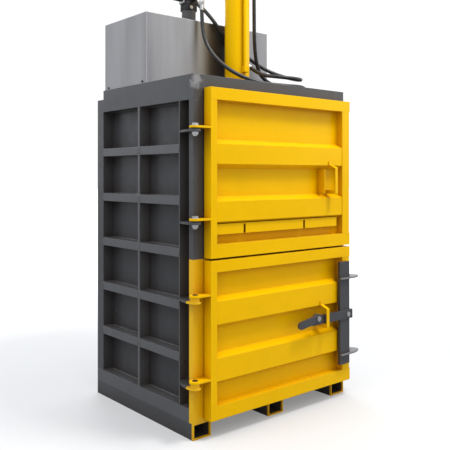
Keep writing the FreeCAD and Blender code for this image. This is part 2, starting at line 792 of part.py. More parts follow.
def catch_plate(z):
    """A hooked plate on the frame's right side whose lip stands in front of the lock bar."""
    lip_front = bar_front - catch_clearance - catch_lip
    lip_back = bar_front - catch_clearance
    mouth = left + lock_bar_right + catch_clearance + 2
    throat = right - door_right_gap + bar_overhang + catch_clearance
    tip = right + catch_outreach

    def at(x, y):
        return Vector(x, y, z)

    points = [at(right, front), at(throat, front), at(throat, bar_back), at(mouth, bar_back),
              at(mouth, lip_back), at(left + lock_bar_left - 4, lip_back),
              at(left + lock_bar_left - 4, lip_front), at(right - 50, lip_front)]
    edges = [Part.LineSegment(a, b).toShape() for a, b in zip(points, points[1:])]
    edges.append(Part.Arc(points[-1], at(right + 20, lip_front + 10), at(tip, lip_front + 34)).toShape())
    edges.append(Part.LineSegment(at(tip, lip_front + 34), at(tip, lip_front + 60)).toShape())
    edges.append(Part.Arc(at(tip, lip_front + 60), at(right + 26, front + 20),
                          at(right, front + recess_end)).toShape())
    edges.append(Part.LineSegment(at(right, front + recess_end), at(right, front)).toShape())
    return along_z(edges, z, z + catch_thickness)


write("catch_upper", catch_plate(catch_heights[0] - catch_thickness))
write("catch_lower", catch_plate(catch_heights[1] - catch_thickness))

# ---- power unit ----

cx0 = left + cover_left
cx1 = left + cover_right
cy0 = front + cover_front
cy1 = front + cover_rear
cover = block(cx0, cx1, cy0, cy1, body_height, cover_top)
cover = cover.cut(block(cx0 + cover_sheet, cx1 - cover_sheet, cy0 + cover_sheet, cy1 - cover_sheet,
                        body_height - 1, cover_top - cover_sheet))
neck_x = left + valve_x
neck_y = front + valve_y
cover = cover.cut(rod_along(neck_radius + 0.5, (neck_x, neck_y, cover_top - 2 * cover_sheet),
                            (neck_x, neck_y, cover_top + 1)))
for place, face in cover_screw_places:
    cover = cover.cut(cover_screw(place, face, shank_only=True))
write("power_cover", cover)
write("cover_screws", *[cover_screw(place, face) for place, face in cover_screw_places])

tank_x0 = left + tank_left
tank_y0 = front + tank_front
tank_top = body_height + tank_height
tank = joined(block(tank_x0, tank_x0 + tank_length, tank_y0, tank_y0 + tank_depth, body_height, tank_top),
              rod_along(neck_radius, (neck_x, neck_y, tank_top), (neck_x, neck_y, valve_low)))
write("oil_tank", tank)

motor_z = body_height + motor_foot + motor_radius
motor_x0 = left + motor_left
motor_axis_y = front + motor_y
motor = joined(rod_along(motor_radius, (motor_x0, motor_axis_y, motor_z),
                         (motor_x0 + motor_length, motor_axis_y, motor_z)),
               block(motor_x0 + 30, motor_x0 + motor_length - 30, motor_axis_y - 80, motor_axis_y + 80,
                     body_height, body_height + 2 * motor_foot),
               rod_along(30.0, (tank_x0 + tank_length, motor_axis_y, motor_z), (motor_x0, motor_axis_y, motor_z)))
write("pump_motor", motor)

valve_top = valve_low + valve_height
manifold = joined(block(neck_x - valve_half_x, neck_x + valve_half_x, neck_y - valve_half_y,
                        neck_y + valve_half_y, valve_low, valve_top))



def valve_elbow(end, before, x, y):
    """An elbow on the valve block: level from the block to a round knee, then on to a hose's end."""
    direction = (end - before).normalize()
    neck_end = end + direction * ferrule_length
    knee = neck_end + direction * port_stub
    return [rod_along(ferrule_radius, (x, y, knee.z), tuple(knee)), Part.makeSphere(ferrule_radius, knee),
            rod_along(ferrule_radius, tuple(knee), tuple(neck_end))]


write("valve_block", joined(manifold,
                            *valve_elbow(pressure_route[0], pressure_route[1], pressure_route[0].x,
                                         neck_y - valve_half_y + 4),
                            *valve_elbow(return_route[0], return_route[1], neck_x + valve_half_x - 4,
                                         neck_y + 10)))

coil_y = neck_y + 2
coil_z = valve_low + 80.0
coils = [rod_along(24.0, (neck_x - valve_half_x - 78, coil_y, coil_z), (neck_x - valve_half_x - 18, coil_y, coil_z)),
         rod_along(14.0, (neck_x - valve_half_x - 104, coil_y, coil_z), (neck_x - valve_half_x, coil_y, coil_z)),
         block(neck_x - valve_half_x - 66, neck_x - valve_half_x - 30, coil_y - 15, coil_y + 15, coil_z,
               coil_z + 46),
         block(neck_x - valve_half_x - 18, neck_x - valve_half_x, coil_y - 25, coil_y + 25, coil_z - 34,
               coil_z + 26)]
write("solenoid_valve", joined(*coils))

# ---- hoses and their ferrules ----

def hose(name, route):
    """A round tube of straight runs joined by tangent arcs, each as large as its runs allow."""
    edges = []
    last = route[0]
    radii = []
    for before, corner, after in zip(route, route[1:], route[2:]):
        run_in = corner - before
        run_out = after - corner
        u = Vector(run_in).normalize()
        v = Vector(run_out).normalize()
        turn = u.getAngle(v)
        reach = 0.45 * min(run_in.Length, run_out.Length)
        radii.append(reach / math.tan(turn / 2))
        start = corner - u * reach
        end = corner + v * reach
        inward = (v - u).normalize()
        centre_distance = radii[-1] / math.cos(turn / 2)
        middle = corner + inward * (centre_distance - radii[-1])
        edges.append(Part.LineSegment(last, start).toShape())
        edges.append(Part.Arc(start, middle, end).toShape())
        last = end
    edges.append(Part.LineSegment(last, route[-1]).toShape())
    path = Part.Wire(edges)
    ring = Part.Wire([Part.makeCircle(hose_radius, route[0], route[1] - route[0])])
    solid = path.makePipeShell([ring], True, False)
    ideal = math.pi * hose_radius ** 2 * path.Length
    print(name, "length", round(path.Length), "smallest radius", round(min(radii)),
          "radii", [round(r) for r in radii], "volume ratio", round(solid.Volume / ideal, 4))
    return solid


write("pressure_hose", hose("pressure_hose", pressure_route))
write("return_hose", hose("return_hose", return_route))


def ferrule(end, before):
    """A crimped sleeve from the hose's end towards its port, in line with the hose."""
    return Part.makeCylinder(ferrule_radius, ferrule_length, end, end - before)


write("hose_ferrules", *[ferrule(end, before) for route in (pressure_route, return_route)
                         for end, before in ((route[0], route[1]), (route[-1], route[-2]))])
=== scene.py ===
import math

import bpy
import numpy as np
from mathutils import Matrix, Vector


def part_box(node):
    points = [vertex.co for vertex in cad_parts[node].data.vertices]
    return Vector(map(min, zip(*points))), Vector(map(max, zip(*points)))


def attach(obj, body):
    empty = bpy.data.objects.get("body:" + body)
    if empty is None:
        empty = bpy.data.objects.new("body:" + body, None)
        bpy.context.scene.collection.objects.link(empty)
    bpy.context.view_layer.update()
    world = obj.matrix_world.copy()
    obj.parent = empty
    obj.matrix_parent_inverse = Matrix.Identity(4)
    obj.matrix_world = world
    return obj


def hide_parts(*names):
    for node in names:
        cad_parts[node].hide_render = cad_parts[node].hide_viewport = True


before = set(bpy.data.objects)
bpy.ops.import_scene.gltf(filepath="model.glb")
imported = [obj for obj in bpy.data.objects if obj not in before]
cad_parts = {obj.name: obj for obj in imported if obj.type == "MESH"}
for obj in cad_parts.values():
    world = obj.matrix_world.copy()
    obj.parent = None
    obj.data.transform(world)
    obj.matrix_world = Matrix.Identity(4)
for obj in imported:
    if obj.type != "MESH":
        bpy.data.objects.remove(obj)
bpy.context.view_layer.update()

# ---- Viewpoint, floor and light ----
# A pale seamless floor under six soft lamps and an even sky. The floor glows more with distance, so
# it runs into the white background. None of it belongs to the machine.
camera = bpy.data.objects.new("camera", bpy.data.cameras.new("camera"))
bpy.context.scene.collection.objects.link(camera)
bpy.context.scene.camera = camera
camera.location = (-2.769, -3.353, 1.444)
camera.rotation_euler = (math.radians(90), 0, math.radians(-40.26))
camera.data.lens = 52.16
camera.data.sensor_width = 36
camera.data.shift_x = -0.0082
camera.data.shift_y = -0.110
camera.data.clip_end = 200


def add(tree, kind, settings=None, **inputs):
    """One shader node: each input takes a number, a colour or another node's socket."""
    made = tree.nodes.new("ShaderNode" + kind)
    for key, value in (settings or {}).items():
        setattr(made, key, value)
    for key, value in inputs.items():
        place = int(key[1:]) if key[0] == "_" else key.replace("_", " ")
        if isinstance(value, bpy.types.NodeSocket):
            tree.links.new(value, made.inputs[place])
        else:
            made.inputs[place].default_value = value
    return made


def new_material(name):
    """An empty node material with its output, as (material, node tree, output node)."""
    made = bpy.data.materials.new(name)
    made.use_nodes = True
    made.node_tree.nodes.clear()
    return made, made.node_tree, made.node_tree.nodes.new("ShaderNodeOutputMaterial")


bpy.context.scene.view_settings.view_transform = "Standard"

world = bpy.data.worlds.new("studio")
bpy.context.scene.world = world
world.use_nodes = True
sky = world.node_tree
sky.nodes.clear()
seen = add(sky, "Background", Color=(1, 1, 1, 1), Strength=1.05)
lighting = add(sky, "Background", Color=(0.93, 0.96, 1, 1), Strength=0.98)
ray = add(sky, "LightPath")
chosen = add(sky, "MixShader", _0=ray.outputs["Is Camera Ray"], _1=lighting.outputs[0], _2=seen.outputs[0])
add(sky, "OutputWorld", Surface=chosen.outputs[0])

floor_mesh = bpy.data.meshes.new("floor")
reach = 60.0
floor_mesh.from_pydata([(-reach, -reach, 0), (reach, -reach, 0), (reach, reach, 0), (-reach, reach, 0)],
                       [], [(0, 1, 2, 3)])
floor = bpy.data.objects.new("floor", floor_mesh)
bpy.context.scene.collection.objects.link(floor)
floor_paint, tree, out = new_material("studio_floor")
haze = add(tree, "TexNoise", Vector=add(tree, "TexCoord").outputs["Object"], Scale=1.3, Detail=2.0)
tone = add(tree, "MixRGB", _0=haze.outputs["Fac"], _1=(0.540, 0.540, 0.543, 1), _2=(0.560, 0.560, 0.560, 1))
matt = add(tree, "BsdfPrincipled", Base_Color=tone.outputs[0], Roughness=0.75)
matt.inputs["Emission Color"].default_value = (1, 1, 1, 1)
glow_ray = add(tree, "LightPath")
far = add(tree, "VectorMath", {"operation": "LENGTH"}, _0=add(tree, "TexCoord").outputs["Object"])
far_glow = add(tree, "MapRange", Value=far.outputs["Value"], From_Min=2.2, From_Max=7.0, To_Min=0.21,
               To_Max=1.0)
glow = add(tree, "Emission", Color=(1, 1, 1, 1), Strength=far_glow.outputs[0])
lifted = add(tree, "AddShader", _0=matt.outputs[0], _1=glow.outputs[0])
dull = add(tree, "BsdfDiffuse")
dull.inputs["Color"].default_value = (0.32, 0.32, 0.32, 1)
floor_mix = add(tree, "MixShader", _0=glow_ray.outputs["Is Camera Ray"], _1=dull.outputs[0],
                _2=lifted.outputs[0])
tree.links.new(floor_mix.outputs[0], out.inputs["Surface"])
floor_mesh.materials.append(floor_paint)


def lamp(name, place, target, size, power, tint):
    """A square soft lamp at a place, turned to a target."""
    data = bpy.data.lights.new(name, "AREA")
    data.shape = "SQUARE"
    data.size = size
    data.energy = power
    data.color = tint
    made = bpy.data.objects.new(name, data)
    bpy.context.scene.collection.objects.link(made)
    made.location = place
    ahead = np.subtract(target, place)
    level = math.hypot(ahead[0], ahead[1])
    made.rotation_euler = (math.atan2(level, -ahead[2]), 0, math.atan2(ahead[1], ahead[0]) - math.pi / 2)


lamp("lamp_high_front", (0.9, -2.3, 5.4), (0.1, -0.5, 1.2), 1.2, 165, (1, 0.985, 0.96))
lamp("lamp_front_left", (-3.4, -5.8, 2.6), (0, 0, 1.1), 3.4, 6, (1, 0.985, 0.96))
lamp("lamp_left", (-3.0, 0.0, 4.6), (-0.4, 0, 1.4), 1.6, 48, (0.95, 0.97, 1))
lamp("lamp_right", (5.5, -3.2, 3.2), (0, 0, 1.2), 3.0, 18, (1, 0.98, 0.95))
lamp("lamp_overhead", (0.2, 0.4, 6.8), (0, 0, 1.0), 3.0, 26, (1, 1, 1))
lamp("lamp_behind", (2.5, 5.5, 4.0), (0, 0, 1.2), 3.0, 90, (1, 1, 1))

# ---- Hydraulic hoses ----
# Two rubber hoses with wire inside run from the valve to the cylinder's ports and lie in loose
# loops on the deck. They are smooth black extrusions, slightly dusty from the shop.

pressure_route = [
    (-0.225, -0.085, 2.504), (-0.225, -0.085, 2.384), (-0.213, -0.123, 2.258), (-0.173, -0.203, 2.150),
    (-0.093, -0.288, 2.068), (0.040, -0.355, 2.024), (0.169, -0.432, 2.013), (0.292, -0.463, 2.013),
    (0.401, -0.392, 2.014), (0.427, -0.267, 2.022), (0.351, -0.162, 2.048), (0.222, -0.149, 2.105),
    (0.147, -0.185, 2.205), (0.105, -0.217, 2.335), (0.092, -0.230, 2.500), (0.086, -0.234, 2.680),
    (0.087, -0.235, 2.856)]
return_route = [
    (-0.156, 0.014, 2.546), (-0.127, -0.086, 2.446), (-0.028, -0.069, 2.335), (0.080, -0.070, 2.294),
    (0.174, -0.088, 2.230), (0.288, -0.119, 2.165), (0.380, -0.193, 2.118), (0.410, -0.307, 2.085),
    (0.353, -0.412, 2.068), (0.238, -0.445, 2.064), (0.134, -0.387, 2.072), (0.102, -0.276, 2.092),
    (0.104, -0.174, 2.155)]
hose_diameter = 0.024

hose_rubber, tree, out = new_material("hose_rubber")
at = add(tree, "TexCoord").outputs["Object"]
dust = add(tree, "TexNoise", Vector=at, Scale=38.0, Detail=5.0, Roughness=0.65)
dust_band = add(tree, "MapRange", Value=dust.outputs["Fac"], From_Min=0.45, From_Max=0.8, To_Min=0.0,
                To_Max=1.0)
rubber_tone = add(tree, "MixRGB", _0=dust_band.outputs[0], _1=(0.012, 0.012, 0.013, 1),
                  _2=(0.05, 0.049, 0.046, 1))
rubber_gloss = add(tree, "MapRange", Value=dust.outputs["Fac"], From_Min=0.3, From_Max=0.8, To_Min=0.38,
                   To_Max=0.62)
wrap = add(tree, "TexNoise", Vector=at, Scale=420.0, Detail=2.0)
wrap_bump = add(tree, "Bump", Strength=0.25, Distance=0.0006, Height=wrap.outputs["Fac"])
rubber = add(tree, "BsdfPrincipled", Base_Color=rubber_tone.outputs[0], Roughness=rubber_gloss.outputs[0],
             Normal=wrap_bump.outputs[0])
tree.links.new(rubber.outputs[0], out.inputs["Surface"])


def hose(name, route):
    """A round tube along a smooth spline whose control points are the route."""
    line = bpy.data.curves.new(name, "CURVE")
    line.dimensions = "3D"
    spline = line.splines.new("NURBS")
    spline.points.add(len(route) - 1)
    for point, place in zip(spline.points, route):
        point.co = (*place, 1)
    spline.order_u = 3
    spline.use_endpoint_u = True
    spline.resolution_u = 14
    line.bevel_depth = hose_diameter / 2
    line.bevel_resolution = 7
    line.use_fill_caps = True
    line.materials.append(hose_rubber)
    made = bpy.data.objects.new(name, line)
    bpy.context.scene.collection.objects.link(made)
    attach(made, "frame")
    return made


pressure_hose = hose("hose_pressure", pressure_route)
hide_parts("pressure_hose")
return_hose = hose("hose_return", return_route)
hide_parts("return_hose")

# ---- Machine paint ----
# Sprayed two-pack enamel over welded steel: yellow on the doors, the lower posts, the feet's fronts
# and the cylinder, dark grey on the rest. It has a fine orange peel and edges rubbed lighter, and
# painted shade darkens and browns it in corners and recesses.


def new_group(name, inputs, outputs):
    """An empty node group with named sockets, as (group, input node, output node)."""
    group = bpy.data.node_groups.new(name, "ShaderNodeTree")
    for label, kind, value in inputs:
        socket = group.interface.new_socket(label, in_out="INPUT", socket_type=kind)
        socket.default_value = value
    for label, kind in outputs:
        group.interface.new_socket(label, in_out="OUTPUT", socket_type=kind)
    return group, group.nodes.new("NodeGroupInput"), group.nodes.new("NodeGroupOutput")


COLOUR, NUMBER, DIRECTION = "NodeSocketColor", "NodeSocketFloat", "NodeSocketVector"

sprayed, given, result = new_group(
    "sprayed_enamel",
    [("Paint", COLOUR, (0.5, 0.5, 0.5, 1)), ("Rubbed", COLOUR, (0.5, 0.5, 0.5, 1)),
     ("Rub", NUMBER, 0.3), ("Grime", NUMBER, 0.2), ("Edge", NUMBER, 0.004)],
    [("Color", COLOUR), ("Roughness", NUMBER), ("Normal", DIRECTION)])
at = add(sprayed, "TexCoord").outputs["Object"]
clouds = add(sprayed, "TexNoise", Vector=at, Scale=2.1, Detail=4.0, Roughness=0.6)
cloud_tone = add(sprayed, "MapRange", Value=clouds.outputs["Fac"], From_Min=0.3, From_Max=0.7,
                 To_Min=0.96, To_Max=1.03)
base_tone = add(sprayed, "VectorMath", {"operation": "SCALE"}, _0=given.outputs["Paint"],
                Scale=cloud_tone.outputs[0])
rounded = add(sprayed, "Bevel", {"samples": 4}, Radius=given.outputs["Edge"])
flat = add(sprayed, "NewGeometry").outputs["Normal"]
agreement = add(sprayed, "VectorMath", {"operation": "DOT_PRODUCT"}, _0=rounded.outputs[0], _1=flat)
edge_mask = add(sprayed, "MapRange", Value=agreement.outputs["Value"], From_Min=0.995, From_Max=0.90,
                To_Min=0.0, To_Max=1.0)
chips = add(sprayed, "TexNoise", Vector=at, Scale=55.0, Detail=6.0, Roughness=0.7)
chip_mask = add(sprayed, "MapRange", Value=chips.outputs["Fac"], From_Min=0.42, From_Max=0.62,
                To_Min=0.0, To_Max=1.0)
worn = add(sprayed, "Math", {"operation": "MULTIPLY"}, _0=edge_mask.outputs[0], _1=chip_mask.outputs[0])
worn_much = add(sprayed, "Math", {"operation": "MULTIPLY"}, _0=worn.outputs[0], _1=given.outputs["Rub"])
rubbed_tone = add(sprayed, "MixRGB", _0=worn_much.outputs[0], _1=base_tone.outputs[0],
                  _2=given.outputs["Rubbed"])
soot = add(sprayed, "TexNoise", Vector=at, Scale=9.0, Detail=7.0, Roughness=0.68)
soot_mask = add(sprayed, "MapRange", Value=soot.outputs["Fac"], From_Min=0.48, From_Max=0.78,
                To_Min=0.0, To_Max=1.0)
soot_much = add(sprayed, "Math", {"operation": "MULTIPLY"}, _0=soot_mask.outputs[0],
                _1=given.outputs["Grime"])
dirty_tone = add(sprayed, "MixRGB", {"blend_type": "MULTIPLY"}, _0=soot_much.outputs[0],
                 _1=rubbed_tone.outputs[0], _2=(0.52, 0.49, 0.44, 1))
# Painted shade: where the ambient occlusion closes in, in corners and recesses, the colour is multiplied
# towards a dark brown.
corner_occlusion = add(sprayed, "AmbientOcclusion", {"samples": 6}, Distance=0.11)
painted_shade_mask = add(sprayed, "MapRange", Value=corner_occlusion.outputs["AO"], From_Min=0.90, From_Max=0.35,
                To_Min=0.0, To_Max=0.85)
painted_shade_tone = add(sprayed, "MixRGB", {"blend_type": "MULTIPLY"}, _0=painted_shade_mask.outputs[0],
                   _1=dirty_tone.outputs[0], _2=(0.66, 0.52, 0.42, 1))
sprayed.links.new(painted_shade_tone.outputs[0], result.inputs["Color"])
gloss = add(sprayed, "MapRange", Value=soot.outputs["Fac"], From_Min=0.3, From_Max=0.75,
            To_Min=0.27, To_Max=0.46)
sprayed.links.new(gloss.outputs[0], result.inputs["Roughness"])
peel = add(sprayed, "TexNoise", Vector=at, Scale=260.0, Detail=2.0)
sag = add(sprayed, "TexNoise", Vector=at, Scale=7.0, Detail=2.0)
sag_much = add(sprayed, "Math", {"operation": "MULTIPLY"}, _0=sag.outputs["Fac"], _1=6.0)
skin_height = add(sprayed, "Math", {"operation": "ADD"}, _0=peel.outputs["Fac"], _1=sag_much.outputs[0])
skin_bump = add(sprayed, "Bump", Strength=0.22, Distance=0.0006, Height=skin_height.outputs[0],
                Normal=rounded.outputs[0])
sprayed.links.new(skin_bump.outputs[0], result.inputs["Normal"])

yellow_tone = (0.900, 0.509, 0.000, 1)
yellow_rubbed = (0.98, 0.72, 0.08, 1)
grey_tone = (0.070, 0.071, 0.075, 1)
grey_rubbed = (0.30, 0.31, 0.33, 1)


def enamel(name, tone, rubbed, rub=0.45, grime=0.10, edge=0.004, other=None, along="Z", limit=0.0):
    """Enamel in one tone, or in two that meet at a limit along an axis of the machine."""
    made, tree, out = new_material(name)
    coat = tree.nodes.new("ShaderNodeGroup")
    coat.node_tree = sprayed
    coat.inputs["Paint"].default_value = tone
    coat.inputs["Rubbed"].default_value = rubbed
    coat.inputs["Rub"].default_value = rub
    coat.inputs["Grime"].default_value = grime
    coat.inputs["Edge"].default_value = edge
    if other:
        axes = add(tree, "SeparateXYZ", Vector=add(tree, "TexCoord").outputs["Object"])
        side = add(tree, "MapRange", Value=axes.outputs[along], From_Min=limit - 0.001,
                   From_Max=limit + 0.001, To_Min=0.0, To_Max=1.0)
        two = add(tree, "MixRGB", _0=side.outputs[0], _1=tone, _2=other)
        tree.links.new(two.outputs[0], coat.inputs["Paint"])
        two_rubbed = add(tree, "MixRGB", _0=side.outputs[0], _1=rubbed, _2=grey_rubbed)
        tree.links.new(two_rubbed.outputs[0], coat.inputs["Rubbed"])
    shell = add(tree, "BsdfPrincipled", Base_Color=coat.outputs["Color"],
                Roughness=coat.outputs["Roughness"], Normal=coat.outputs["Normal"])
    all_yellow = tone == yellow_tone and not other
    shell.inputs["Specular IOR Level"].default_value = 0.22 if all_yellow else 0.35
    shell.inputs["Specular Tint"].default_value = rubbed if all_yellow else (1, 1, 1, 1)
    shell.inputs["Coat Weight"].default_value = 0.06
    shell.inputs["Coat Roughness"].default_value = 0.12
    tree.links.new(shell.outputs[0], out.inputs["Surface"])
    return made


yellow_paint = enamel("yellow_enamel", yellow_tone, yellow_rubbed)
grey_paint = enamel("grey_enamel", grey_tone, grey_rubbed, rub=0.5, grime=0.2, edge=0.003)
ground_paint = enamel("ground_enamel", grey_tone, grey_rubbed, rub=0.7, grime=0.2, edge=0.004)
tree = ground_paint.node_tree
corner = add(tree, "VectorMath", {"operation": "DISTANCE"}, _0=add(tree, "TexCoord").outputs["Object"],
             _1=(-0.608, -0.525, 1.962))
ragged = add(tree, "TexNoise", Vector=add(tree, "TexCoord").outputs["Object"], Scale=34.0, Detail=5.0)
ragged_reach = add(tree, "Math", {"operation": "MULTIPLY_ADD"}, _0=ragged.outputs["Fac"], _1=0.09,
                   _2=corner.outputs["Value"])
ground_mask = add(tree, "MapRange", Value=ragged_reach.outputs[0], From_Min=0.062, From_Max=0.094,
                  To_Min=0.7, To_Max=0.0)
ground_tone = add(tree, "MixRGB", _0=ground_mask.outputs[0], _1=grey_tone, _2=(0.32, 0.32, 0.32, 1))
ground_coat = next(n for n in tree.nodes if n.type == "GROUP")
tree.links.new(ground_tone.outputs[0], ground_coat.inputs["Paint"])
rib_paint = enamel("rib_enamel", (0.102, 0.103, 0.108, 1), grey_rubbed, rub=0.8, grime=0.2, edge=0.003)
# Lighter grey and more rubbed than the frame: partly scuffed paint on the beads, partly a painted highlight
# along them.
weld_paint = enamel("weld_enamel", (0.12, 0.121, 0.125, 1), (0.55, 0.55, 0.56, 1), rub=0.9, grime=0.2,
                    edge=0.003)
# Painted shade: the side walls sit deep behind the rib grid, and their tone is set darker than the grid's to
# stand for the shade in there.
shaded_wall_paint = enamel("shaded_recess_enamel", (0.045, 0.045, 0.049, 1), (0.11, 0.112, 0.12, 1), grime=0.3,
                      edge=0.002)
post_paint = enamel("post_enamel", yellow_tone, yellow_rubbed, other=grey_tone, along="Z", limit=0.985)
foot_paint = enamel("foot_enamel", yellow_tone, yellow_rubbed, grime=0.15, edge=0.003, other=grey_tone,
                    along="Y", limit=-0.513)
gusset_paint = enamel("gusset_enamel", yellow_tone, yellow_rubbed, edge=0.002, other=grey_tone,
                      along="Y", limit=-0.523)
catch_paint = enamel("catch_enamel", (0.20, 0.20, 0.21, 1), (0.62, 0.62, 0.62, 1), rub=0.9, grime=0.2,
                     edge=0.002)
lock_paint = enamel("lock_enamel", (0.057, 0.058, 0.063, 1), (0.26, 0.26, 0.27, 1), rub=0.6, edge=0.002)


def coat_nodes(material, *names):
    """Gives CAD nodes one material in place of their own."""
    for name in names:
        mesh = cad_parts[name].data
        mesh.materials.clear()
        mesh.materials.append(material)


coat_nodes(yellow_paint, "upper_door_frame", "upper_door_panel", "lower_door_frame", "lower_door_skin",
           "lower_rib_top", "lower_rib_low", "lower_keeper", "upper_keeper", "strap_strip", "cylinder_barrel",
           "cylinder_pipe")
coat_nodes(rib_paint, "side_grid_left", "side_grid_right", "base_beam_left", "base_beam_right")
coat_nodes(grey_paint, "base_sill_front", "base_beam_rear", "rear_post_left", "rear_post_right",
           "rear_panel", "top_beam_right", "top_beam_rear", "deck_plate", "upper_gusset_top",
           "upper_gusset_low", "oil_tank")
coat_nodes(ground_paint, "top_beam_left", "top_beam_front")
coat_nodes(shaded_wall_paint, "side_wall_left", "side_wall_right")
coat_nodes(post_paint, "front_post_left", "front_post_right")
coat_nodes(foot_paint, "foot_left", "foot_middle", "foot_right")
coat_nodes(gusset_paint, "lower_gusset_top", "lower_gusset_low")
coat_nodes(catch_paint, "catch_upper", "catch_lower")
coat_nodes(lock_paint, "lock_bar", "lock_arm", "lock_handle")

# ---- Scuffed press chamber ----
# The floor, back plate and platen are thick rolled plate. Bales have polished the paint away in
# long streaks along the way they slide, so bare steel shows through.
chamber_steel, tree, out = new_material("scuffed_plate")
at = add(tree, "TexCoord").outputs["Object"]
stretched = add(tree, "Mapping", Vector=at)
stretched.inputs["Scale"].default_value = (18.0, 2.0, 1.4)
streaks = add(tree, "TexNoise", Vector=stretched.outputs[0], Scale=1.6, Detail=8.0, Roughness=0.7)
bare = add(tree, "MapRange", Value=streaks.outputs["Fac"], From_Min=0.45, From_Max=0.68, To_Min=0.0,
           To_Max=1.0)
plate_tone = add(tree, "MixRGB", _0=bare.outputs[0], _1=(0.085, 0.087, 0.092, 1), _2=(0.36, 0.35, 0.33, 1))
plate_metal = add(tree, "MapRange", Value=bare.outputs[0], To_Min=0.0, To_Max=0.85)
plate_rough = add(tree, "MapRange", Value=bare.outputs[0], To_Min=0.5, To_Max=0.36)
scratches = add(tree, "Bump", Strength=0.3, Distance=0.0005, Height=streaks.outputs["Fac"])
plate = add(tree, "BsdfPrincipled", Base_Color=plate_tone.outputs[0], Metallic=plate_metal.outputs[0],
            Roughness=plate_rough.outputs[0], Normal=scratches.outputs[0])
tree.links.new(plate.outputs[0], out.inputs["Surface"])
coat_nodes(chamber_steel, "floor_plate", "chamber_back", "platen")

# ---- Stainless cover ----
# One folded box of 2 mm stainless sheet over the oil tank and pump. Its grain runs up and down. Soft
# upright bands of painted reflection cross it, a painted highlight lines its folds, and a painted
# reflection of the cylinder and hoses makes a dark band beside the cylinder.
cover_steel, tree, out = new_material("stainless_sheet")
at = add(tree, "TexCoord").outputs["Object"]
upright = add(tree, "Mapping", Vector=at)
upright.inputs["Scale"].default_value = (1.0, 1.0, 0.10)
# Painted reflection: slow upright bands of lighter and darker tone stand for the surroundings mirrored in the
# sheet.
reflection_noise = add(tree, "TexNoise", Vector=upright.outputs[0], Scale=5.5, Detail=2.0, Roughness=0.5)
painted_reflection_bands = add(tree, "ValToRGB", Fac=reflection_noise.outputs["Fac"])
ramp = painted_reflection_bands.color_ramp
ramp.elements[0].position = 0.30
ramp.elements[0].color = (0.251, 0.246, 0.252, 1)
ramp.elements[1].position = 0.72
ramp.elements[1].color = (0.382, 0.375, 0.390, 1)
middle = ramp.elements.new(0.50)
middle.color = (0.322, 0.316, 0.324, 1)
axes = add(tree, "SeparateXYZ", Vector=at)
across = add(tree, "MapRange", Value=axes.outputs["X"], From_Min=-0.618, From_Max=0.377, To_Min=0.0,
             To_Max=1.0)
# Painted reflection: across the cover the tone is multiplied by a ramp along X. It has a yellow-brown band and
# then a dark band beside the cylinder for the cylinder and hoses mirrored in the sheet, and it is lighter at
# the ends.
painted_reflection_ramp = add(tree, "ValToRGB", Fac=across.outputs[0])
painted_reflection_ramp.color_ramp.elements[0].color = (1.0, 1.0, 1.0, 1)
painted_reflection_ramp.color_ramp.elements[1].color = (1.05, 1.05, 1.06, 1)
bands = ((0.34, (1.02, 1.02, 1.00, 1)), (0.41, (0.86, 0.85, 0.76, 1)), (0.49, (0.30, 0.27, 0.22, 1)),
         (0.62, (0.26, 0.25, 0.22, 1)), (0.78, (1.00, 1.00, 1.00, 1)))
for place, level in bands:
    painted_reflection_ramp.color_ramp.elements.new(place).color = level
painted_reflection_tone = add(tree, "MixRGB", {"blend_type": "MULTIPLY"}, _0=1.0, _1=painted_reflection_bands.outputs[0],
            _2=painted_reflection_ramp.outputs[0])
grain = add(tree, "Mapping", Vector=at)
grain.inputs["Scale"].default_value = (620.0, 620.0, 7.0)
hairs = add(tree, "TexNoise", Vector=grain.outputs[0], Scale=1.0, Detail=3.0, Roughness=0.6)
hair_tone = add(tree, "MapRange", Value=hairs.outputs["Fac"], From_Min=0.3, From_Max=0.7, To_Min=0.92,
                To_Max=1.06)
sheet_tone = add(tree, "VectorMath", {"operation": "SCALE"}, _0=painted_reflection_tone.outputs[0],
                 Scale=hair_tone.outputs[0])
sheet_rough = add(tree, "MapRange", Value=hairs.outputs["Fac"], From_Min=0.3, From_Max=0.7, To_Min=0.30,
                  To_Max=0.42)
# Painted highlight: a lighter line along the folds, where the rounded normal turns away from the flat one.
folded = add(tree, "Bevel", {"samples": 4}, Radius=0.005)
fold_turn = add(tree, "VectorMath", {"operation": "DOT_PRODUCT"}, _0=folded.outputs[0],
                _1=add(tree, "NewGeometry").outputs["Normal"])
fold_highlight_mask = add(tree, "MapRange", Value=fold_turn.outputs["Value"], From_Min=0.99, From_Max=0.90,
                To_Min=0.0, To_Max=0.8)
painted_fold_highlight = add(tree, "MixRGB", _0=fold_highlight_mask.outputs[0], _1=sheet_tone.outputs[0], _2=(0.82, 0.82, 0.83, 1))
hair_bump = add(tree, "Bump", Strength=0.12, Distance=0.0003, Height=hairs.outputs["Fac"],
                Normal=folded.outputs[0])
sheet = add(tree, "BsdfPrincipled", Base_Color=painted_fold_highlight.outputs[0], Metallic=0.60,
            Roughness=sheet_rough.outputs[0], Normal=hair_bump.outputs[0])
sheet.inputs["Anisotropic"].default_value = 0.35
tree.links.new(sheet.outputs[0], out.inputs["Surface"])
coat_nodes(cover_steel, "power_cover")

# ---- Bright and dark small hardware ----
# Zinc-plated bolts, a chromed rod, black cast valve parts and moulded coils. Each is machined or
# cast, bought in, and bolted on.


